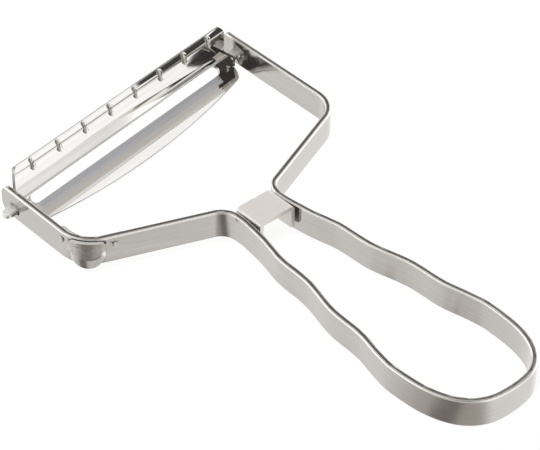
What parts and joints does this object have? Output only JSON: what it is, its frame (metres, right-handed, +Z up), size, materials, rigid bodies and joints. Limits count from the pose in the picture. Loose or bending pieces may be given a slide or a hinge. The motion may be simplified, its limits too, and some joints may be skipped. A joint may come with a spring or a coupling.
{
  "type": "vegetable peeler",
  "caption": "All-steel vegetable peeler: waved loop handle bent from strip, wide yoke with uneven arms, slanted swivelling slotted blade with beaded guard, corner scoop for eyes.",
  "frame": {"origin": "middle of the bottom of the whole peeler's box, under the neck end of the handle loop", "axes": "+Y from the handle's end to the cutter, +Z up out of the yoke's plane on the side where the guard stands, +X towards the longer arm"},
  "size_m": [0.0874, 0.1388, 0.0154],
  "materials": {
    "strip_steel": "satin brushed stainless steel, grain along the strip",
    "plate_steel": "fine satin stainless steel",
    "scoop_steel": "polished stainless steel with a ground lower rim",
    "blade_steel": "mirror-polished stainless steel with a ground cutting bevel"
  },
  "bodies": {
    "frame": {"frame_strip": "strip_steel", "neck_bridge": "plate_steel", "eye_scoop": "scoop_steel", "scoop_rivet_arm": "strip_steel", "scoop_rivet_shoulder": "strip_steel"},
    "cutter": {"cutter": "blade_steel"}
  },
  "joints": [
    {"name": "blade_swivel", "type": "hinge", "parent": "frame", "child": "cutter", "pos_m": [0, 0.05812, 0.00716], "axis": [0.9877, 0.1564, 0], "range_deg": [-25, 25]}
  ]
}
